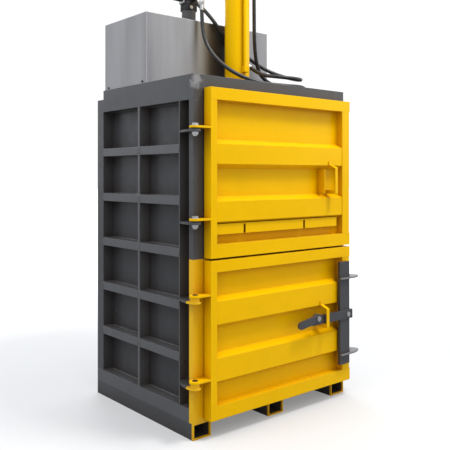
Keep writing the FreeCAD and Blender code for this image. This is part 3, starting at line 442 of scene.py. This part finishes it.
def metal(name, dark, light, metallic, rough_low, rough_high, scale, bump):
    """Metal whose tone and gloss drift between two values in fine mottles."""
    made, tree, out = new_material(name)
    at = add(tree, "TexCoord").outputs["Object"]
    mottle = add(tree, "TexNoise", Vector=at, Scale=scale, Detail=6.0, Roughness=0.65)
    tone = add(tree, "MixRGB", _0=mottle.outputs["Fac"], _1=dark, _2=light)
    rough = add(tree, "MapRange", Value=mottle.outputs["Fac"], From_Min=0.3, From_Max=0.7,
                To_Min=rough_low, To_Max=rough_high)
    fine = add(tree, "TexNoise", Vector=at, Scale=scale * 6, Detail=2.0)
    soft = add(tree, "Bevel", {"samples": 4}, Radius=0.0012)
    bumped = add(tree, "Bump", Strength=bump, Distance=0.0004, Height=fine.outputs["Fac"],
                 Normal=soft.outputs[0])
    shell = add(tree, "BsdfPrincipled", Base_Color=tone.outputs[0], Metallic=metallic,
                Roughness=rough.outputs[0], Normal=bumped.outputs[0])
    tree.links.new(shell.outputs[0], out.inputs["Surface"])
    return made


zinc = metal("zinc_plate", (0.42, 0.42, 0.43, 1), (0.66, 0.66, 0.64, 1), 1.0, 0.25, 0.45, 60, 0.15)
black_bolt = metal("blackened_bolt", (0.02, 0.02, 0.022, 1), (0.07, 0.068, 0.065, 1),
                   0.8, 0.35, 0.55, 80, 0.2)
chrome = metal("hard_chrome", (0.70, 0.70, 0.72, 1), (0.80, 0.80, 0.81, 1), 1.0, 0.06, 0.14, 25, 0.02)
black_cast = metal("black_casting", (0.012, 0.012, 0.013, 1), (0.04, 0.04, 0.042, 1),
                   0.3, 0.38, 0.6, 120, 0.5)
coil_plastic = metal("coil_plastic", (0.014, 0.014, 0.016, 1), (0.03, 0.03, 0.033, 1),
                     0.0, 0.35, 0.5, 150, 0.25)
coat_nodes(zinc, "hinge_bolts", "lock_bolts", "flange_bolts", "rod_gland", "hose_ferrules")
coat_nodes(black_bolt, "hinge_pins", "cover_screws")
coat_nodes(chrome, "piston_rod")
coat_nodes(black_cast, "pump_motor", "valve_block")
coat_nodes(coil_plastic, "solenoid_valve")

# ---- Hose fittings ----
# Each hose end is swaged into a steel sleeve with crimp flats, then a hexagon nut that screws on
# its port. They are turned from bar and zinc plated.


def square_to(axis, helper=None):
    """Two unit directions square to an axis and to each other, the first also square to the helper."""
    if helper is None:
        helper = np.array([0.0, 0.0, 1.0]) if abs(axis[2]) < 0.9 else np.array([1.0, 0.0, 0.0])
    e1 = np.cross(helper, axis)
    e1 /= np.linalg.norm(e1)
    return e1, np.cross(axis, e1)


def heading(before, end):
    """The unit direction from one point to the next."""
    step = np.subtract(end, before)
    return step / np.linalg.norm(step)


def turned(start, direction, profile, around=40, lobes=0, depth=0.0):
    """Rings of a turned piece: start + t·axis + r(t)·(1 + d·cos(n·v))·(e1·cos v + e2·sin v)."""
    axis = np.asarray(direction, float) / np.linalg.norm(direction)
    e1, e2 = square_to(axis)
    t, r = np.array(profile, float).T
    v = np.linspace(0, 2 * np.pi, around, endpoint=False)
    spread = r[:, None] * (1 + depth * np.cos(lobes * v))[None, :]
    return (np.asarray(start, float) + t[:, None, None] * axis
            + spread[..., None] * (np.cos(v)[:, None] * e1 + np.sin(v)[:, None] * e2))


def hexagonal(start, direction, flats, length, chamfer=0.0015):
    """A hexagon bar: r(v) = apothem / cos(v folded into one sixth of a turn), chamfered at both ends."""
    rings = turned(start, direction, [(0, 1), (chamfer, 1), (length - chamfer, 1), (length, 1)], 48)
    axis_points = rings.mean(1, keepdims=True)
    v = np.linspace(0, 2 * np.pi, 48, endpoint=False)
    reach = (flats / 2) / np.cos((v + np.pi / 6) % (np.pi / 3) - np.pi / 6)
    round_end = np.minimum(reach, flats / 2 * 1.06)
    radii = np.stack([round_end, reach, reach, round_end])
    return axis_points + (rings - axis_points) * radii[..., None]


def closed_skin(rings):
    """Points and faces of a closed skin: quads between rings and a flat cap at each end."""
    n, m = rings.shape[:2]
    index = np.arange(n * m).reshape(n, m)
    a, b = index[:-1], index[1:]
    quads = np.stack([a, np.roll(a, -1, 1), np.roll(b, -1, 1), b], -1).reshape(-1, 4)
    return rings.reshape(-1, 3), quads.tolist() + [index[0][::-1].tolist(), index[-1].tolist()]


def closed_loop(rings):
    """Points and faces of rings that close on themselves both ways."""
    n, m = rings.shape[:2]
    index = np.arange(n * m).reshape(n, m)
    ahead = np.roll(index, -1, 0)
    quads = np.stack([index, ahead, np.roll(ahead, -1, 1), np.roll(index, -1, 1)], -1).reshape(-1, 4)
    return rings.reshape(-1, 3), quads.tolist()


def fit(name, skins, material, body, sharp=35, skin=closed_skin):
    """One piece made of closed skins, coated and set on its body; edges over the sharp angle stay crisp."""
    points, faces, count = [], [], 0
    for rings in skins:
        p, f = skin(rings)
        points.append(p)
        faces += [[k + count for k in face] for face in f]
        count += len(p)
    mesh = bpy.data.meshes.new(name)
    mesh.from_pydata(np.concatenate(points).tolist(), [], faces)
    mesh.polygons.foreach_set("use_smooth", np.ones(len(mesh.polygons), bool))
    if sharp:
        mesh.set_sharp_from_angle(angle=math.radians(sharp))
    mesh.materials.append(material)
    made = bpy.data.objects.new(name, mesh)
    bpy.context.scene.collection.objects.link(made)
    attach(made, body)
    return made


sleeve = 0.048
sleeve_radius = 0.015
fitting_skins = []
for end, before in ((pressure_route[0], pressure_route[1]), (pressure_route[-1], pressure_route[-2]),
                    (return_route[0], return_route[1]), (return_route[-1], return_route[-2])):
    ahead = heading(before, end)
    t = np.linspace(-0.012, 0.030, 29)
    crimp = sleeve_radius - 0.0004 + 0.0009 * np.cos(t / 0.006 * 2 * np.pi)
    crimp[[0, -1]] = sleeve_radius - 0.002
    fitting_skins.append(turned(end, ahead, np.stack([t, crimp], 1), 48, lobes=8, depth=0.02))
    fitting_skins.append(turned(end, ahead, [(0.028, 0.0105), (0.036, 0.0105)], 32))
    fitting_skins.append(hexagonal(np.add(end, ahead * 0.034), ahead, 0.031, sleeve - 0.030))
fittings = fit("hose_fittings", fitting_skins, zinc, "frame", 28)
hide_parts("hose_ferrules")

# ---- Valve on the tank's neck ----
# A black cast manifold with clamp screws and plugs in its faces, carrying a solenoid valve: a steel
# body with one ribbed moulded coil, a round cap, a hexagon nut and a moulded plug.


def rounded_bar(start, end, width, height, corner, side=(0, 0, 1)):
    """Rings of a bar: a rectangle with round corners, carried from start to end and drawn in at both."""
    start, end = np.asarray(start, float), np.asarray(end, float)
    axis = (end - start) / np.linalg.norm(end - start)
    e1, e2 = square_to(axis, side)
    quarter = np.linspace(0, np.pi / 2, 6)
    v = np.concatenate([quarter + k * np.pi / 2 for k in range(4)])
    centre_x = np.repeat([1, -1, -1, 1], 6) * (width / 2 - corner)
    centre_y = np.repeat([1, 1, -1, -1], 6) * (height / 2 - corner)
    x, y = centre_x + corner * np.cos(v), centre_y + corner * np.sin(v)
    lip = corner * 0.6
    length = np.linalg.norm(end - start)
    t = np.array([0, lip * 0.3, lip, length - lip, length - lip * 0.3, length])
    shrink = np.array([1 - 2.0 * lip / width, 1 - 0.6 * lip / width, 1, 1, 1 - 0.6 * lip / width,
                       1 - 2.0 * lip / width])
    return (start + t[:, None, None] * axis
            + shrink[:, None, None] * (x[:, None] * e1 + y[:, None] * e2))


neck_x, neck_y = -0.230, 0.047
valve_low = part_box("oil_tank")[1].z
valve_top = valve_low + 0.132
half_x, half_y = 0.042, 0.036
fin_low, fin_pitch, fin_reach, fin_thickness = 0.050, 0.017, 0.003, 0.007
elbow_drop, arm_root = 0.030, 0.004
black_skins = [rounded_bar((neck_x, neck_y, valve_low), (neck_x, neck_y, valve_top),
                           2 * half_y, 2 * half_x, 0.004, side=(1, 0, 0))]
for k in range(4):
    z = valve_low + fin_low + fin_pitch * k
    black_skins.append(rounded_bar((neck_x - half_x - fin_reach, neck_y, z),
                                   (neck_x + half_x + fin_reach, neck_y, z),
                                   2 * (half_y + fin_reach), fin_thickness, 0.002))
for end, before, root in ((pressure_route[0], pressure_route[1], None),
                          (return_route[0], return_route[1], neck_y + 0.010)):
    ahead = heading(before, end)
    knee = np.add(end, ahead * (sleeve + elbow_drop))
    black_skins.append(turned(np.add(end, ahead * sleeve), ahead,
                              [(0, 0.0135), (0.004, 0.015), (0.030, 0.015), (0.040, 0.011),
                               (0.044, 0.004)], 32))
    front_root = (knee[0], neck_y - half_y + arm_root, knee[2])
    side_root = (neck_x + half_x - arm_root, root, knee[2])
    start = front_root if root is None else side_root
    arm = np.subtract(knee, start)
    arm_length = np.linalg.norm(arm)
    black_skins.append(turned(start, arm, [(0, 0.017), (0.010, 0.017), (0.012, 0.0145), (arm_length, 0.0145),
                                           (arm_length + 0.010, 0.010)], 32))
manifold = fit("valve_manifold", black_skins, black_cast, "frame")
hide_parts("valve_block")

bright_skins = []
screw_x, screw_y = 0.026, 0.022
for x in (-screw_x, screw_x):
    for y in (-screw_y, screw_y):
        place = (neck_x + x, neck_y + y, valve_top - 0.001)
        bright_skins.append(turned(place, (0, 0, 1), [(0, 0.0075), (0.008, 0.0075), (0.009, 0.0066)], 24))
for z in (0.022, 0.098):
    bright_skins.append(hexagonal((neck_x - 0.010, neck_y - half_y + 0.001, valve_low + z), (0, -1, 0),
                                  0.022, 0.010))
    bright_skins.append(hexagonal((neck_x + half_x - 0.001, neck_y - 0.012, valve_low + z - 0.006),
                                  (1, 0, 0), 0.020, 0.009))
coil_z, coil_y, coil_x = valve_low + 0.080, neck_y + 0.002, neck_x - half_x
bright_skins.append(rounded_bar((coil_x - 0.018, coil_y, coil_z - 0.004), (coil_x, coil_y, coil_z - 0.004),
                                0.050, 0.060, 0.003))
bright_skins.append(turned((coil_x - 0.104, coil_y, coil_z), (1, 0, 0),
                           [(0, 0.0105), (0.002, 0.013), (0.014, 0.013), (0.015, 0.0095),
                            (0.088, 0.0095)], 36))
bright_skins.append(hexagonal((coil_x - 0.092, coil_y, coil_z), (1, 0, 0), 0.026, 0.011))
solenoid_metal = fit("solenoid_metalwork", bright_skins, zinc, "frame", 28)

coil_profile = [(0, 0.019), (0.002, 0.023)]
coil_ridge, coil_groove, ridge_pitch = 0.0235, 0.0215, 0.0075
for k in range(7):
    step = ridge_pitch * k
    coil_profile += [(0.004 + step, coil_ridge), (0.0085 + step, coil_ridge), (0.009 + step, coil_groove),
                     (0.0112 + step, coil_groove)]
coil_profile += [(0.058, 0.023), (0.060, 0.020)]
plug_x = coil_x - 0.048
coil_skins = [turned((coil_x - 0.078, coil_y, coil_z), (1, 0, 0), coil_profile, 40),
              rounded_bar((plug_x, coil_y, coil_z + 0.012), (plug_x, coil_y, coil_z + 0.046),
                          0.028, 0.034, 0.004, side=(1, 0, 0)),
              turned((plug_x, coil_y - 0.010, coil_z + 0.034), (0, -1, 0),
                     [(0, 0.008), (0.010, 0.008), (0.012, 0.006), (0.018, 0.006)], 24)]
coils = fit("solenoid_coils", coil_skins, coil_plastic, "frame")
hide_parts("solenoid_valve")

# ---- Cylinder head and rings ----
# The barrel is a thick tube closed by a welded end plate with a rolled weld, and it stands on a
# flange. The weld rings are left as laid and painted over.


def weld_ring(centre, radius, size, count):
    """A bead round a shaft: a torus whose section has radius size·(0.85 + 0.3·|sin(count·u / 4)|)."""
    u = np.linspace(0, 2 * np.pi, count, endpoint=False)
    v = np.linspace(0, 2 * np.pi, 8, endpoint=False)
    swell = size * (0.85 + 0.3 * np.abs(np.sin(u * count / 4)))
    r = radius + swell[:, None] * np.cos(v)[None, :]
    z = swell[:, None] * np.sin(v)[None, :]
    return np.stack([centre[0] + r * np.cos(u)[:, None], centre[1] + r * np.sin(u)[:, None],
                     centre[2] + z], -1)


cylinder_x, cylinder_y = 0.0, -0.167
barrel_low, barrel_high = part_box("cylinder_barrel")
barrel_radius = 0.080
flange_step, head_depth = 0.026, 0.030
fit("cylinder_welds",
    [weld_ring((cylinder_x, cylinder_y, barrel_low.z + flange_step), barrel_radius, 0.0040, 200),
     weld_ring((cylinder_x, cylinder_y, barrel_high.z - head_depth), barrel_radius, 0.0030, 200)],
    yellow_paint, "frame", sharp=None, skin=closed_loop)
fit("cylinder_end_plate",
    [turned((cylinder_x, cylinder_y, barrel_high.z - 0.024), (0, 0, 1),
            [(0, 0.0802), (0.001, 0.0825), (0.024, 0.0825), (0.028, 0.0790), (0.0285, 0.0300),
             (0.0287, 0.0010)], 96),
     hexagonal((cylinder_x + 0.045, cylinder_y, barrel_high.z + 0.003), (0, 0, 1), 0.024, 0.010)],
    yellow_paint, "frame")

# ---- Weld beads on the frame and doors ----
# Every rib, bar and sheet is stick welded. The beads are short overlapping scales a few millimetres
# wide, laid in the corners and painted over with the rest.


def bead(start, end, size):
    """A bead on a line: ring k at start + k·p·axis + wander, radius size·(0.8 + 0.35·|sin(0.8·k)|)."""
    start, end = np.asarray(start, float), np.asarray(end, float)
    length = np.linalg.norm(end - start)
    count = max(5, int(length / 0.005))
    k = np.arange(count + 1)
    axis = (end - start) / length
    e1, e2 = square_to(axis)
    radius = size * (0.8 + 0.35 * np.abs(np.sin(0.8 * k)))
    radius[[0, -1]] *= 0.4
    v = np.linspace(0, 2 * np.pi, 7, endpoint=False)
    wander = 0.12 * size * np.sin(k * 0.37 + start.sum() * 9)
    middle = start + (k / count * length)[:, None] * axis + wander[:, None] * e1
    return middle[:, None, :] + radius[:, None, None] * (np.cos(v)[:, None] * e1 + np.sin(v)[:, None] * e2)


grid_low, grid_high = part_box("side_grid_left")
base_top, beam_low = grid_low.z, grid_high.z
grid_front, grid_rear = grid_low.y, grid_high.y
rib_face, rib_rows = 0.050, 5
bay = (beam_low - base_top - rib_rows * rib_face) / (rib_rows + 1)
rib_heights = [base_top + bay + k * (bay + rib_face) for k in range(rib_rows)]
plate_face, outer_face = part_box("side_grid_right")[0].x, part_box("side_grid_right")[1].x
edge_flat, upright_low, upright_high = 0.006, 0.010, 0.030
clear = 0.002  # a long bead stops this far from a corner
sunk = 0.0005  # an upright bead's line lies this deep in the rib's face
margin = 0.003  # and stops this far from the rib's edges
spans = ((grid_front + edge_flat + clear, upright_low - clear), (upright_high + clear, grid_rear - clear))
for name, sign in (("left", -1), ("right", 1)):
    beads = []
    for y0, y1 in spans:
        for z in rib_heights:
            for edge in (z, z + rib_face):
                beads.append(bead((sign * plate_face, y0, edge), (sign * plate_face, y1, edge), 0.0035))
            for y in (y0 - clear, y1 + clear):
                beads.append(bead((sign * (outer_face - sunk), y, z + margin),
                                  (sign * (outer_face - sunk), y, z + rib_face - margin), 0.0028))
                beads.append(bead((sign * plate_face, y, z + rib_face),
                                  (sign * outer_face, y, z + rib_face), 0.003))
        for z in (base_top, beam_low):
            beads.append(bead((sign * plate_face, y0, z), (sign * plate_face, y1, z), 0.0045))
        for y in (y0 - clear, y1 + clear):
            for z in (base_top, beam_low):
                beads.append(bead((sign * plate_face, y, z), (sign * outer_face, y, z), 0.0038))
    fit("side_welds_" + name, beads, weld_paint, "frame", 180)

rear_low, rear_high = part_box("rear_panel")
beads = []
wall_plate = 0.006
rear_plate = rear_low.y + wall_plate
upright_near, upright_far = 0.1993, 0.2193
columns = [rear_low.x, -upright_far, -upright_near, upright_near, upright_far, rear_high.x]
for x0, x1 in (columns[0:2], columns[2:4], columns[4:6]):
    for z in rib_heights:
        beads.append(bead((x0, rear_plate, z + rib_face), (x1, rear_plate, z + rib_face), 0.0035))
        for x in (x0, x1):
            beads.append(bead((x, rear_high.y - sunk, z + margin),
                              (x, rear_high.y - sunk, z + rib_face - margin), 0.0028))
    beads.append(bead((x0, rear_plate, base_top), (x1, rear_plate, base_top), 0.0045))
fit("rear_welds", beads, weld_paint, "frame", 180)

panel_face = -0.543
door_left, door_right = -0.554, 0.606
for door, panel, ribs in (("upper_door", "upper_door_panel", ()),
                          ("lower_door", "lower_door_skin", ("lower_rib_top", "lower_rib_low"))):
    low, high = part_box(panel)
    beads = [bead((low.x, panel_face, low.z), (high.x, panel_face, low.z), 0.0028),
             bead((low.x, panel_face, high.z), (high.x, panel_face, high.z), 0.0028)]
    for x in (low.x, high.x):
        cuts = [low.z] + sorted(z for rib in ribs for z in (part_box(rib)[0].z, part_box(rib)[1].z)) + [high.z]
        for z0, z1 in zip(cuts[0::2], cuts[1::2]):
            beads.append(bead((x, panel_face, z0), (x, panel_face, z1), 0.0028))
    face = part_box(door + "_frame")[0].y + 0.0004
    for x0, x1 in ((door_left, low.x - 0.002), (high.x + 0.002, door_right)):
        for z in (low.z, high.z):
            beads.append(bead((x0, face, z), (x1, face, z), 0.0012))
    for rib in ribs:
        rib_low, rib_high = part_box(rib)
        for z in (rib_low.z, rib_high.z):
            beads.append(bead((low.x, panel_face, z), (rib_high.x, panel_face, z), 0.0030))
    fit(door + "_welds", beads, yellow_paint, door, 180)

# ---- Hinge washers ----
# A plain zinc washer sits under each hinge bolt's head and over its nut, pressed from strip.
pin_x, pin_y = -0.640, -0.559
upper_ears = (1.701, 1.200)
ear_thickness, hinge_play, boss_height, gusset_thickness = 0.012, 0.0005, 0.008, 0.012
washer_edge, washer_radius, washer_lip = 0.0205, 0.0215, 0.0004
head_washer, nut_washer = 0.0034, 0.0030


def washer(z, thickness):
    """A ring round a hinge bolt from a height up, its rims drawn in by the lip."""
    return turned((pin_x, pin_y, z), (0, 0, 1),
                  [(0, washer_edge), (washer_lip, washer_radius), (thickness - washer_lip, washer_radius),
                   (thickness, washer_edge)], 48)


washers = []
for z in upper_ears:
    washers.append(washer(z + ear_thickness + hinge_play - washer_lip, head_washer))
    washers.append(washer(z - hinge_play - boss_height - gusset_thickness - nut_washer, nut_washer))
fit("hinge_washers", washers, zinc, "frame")
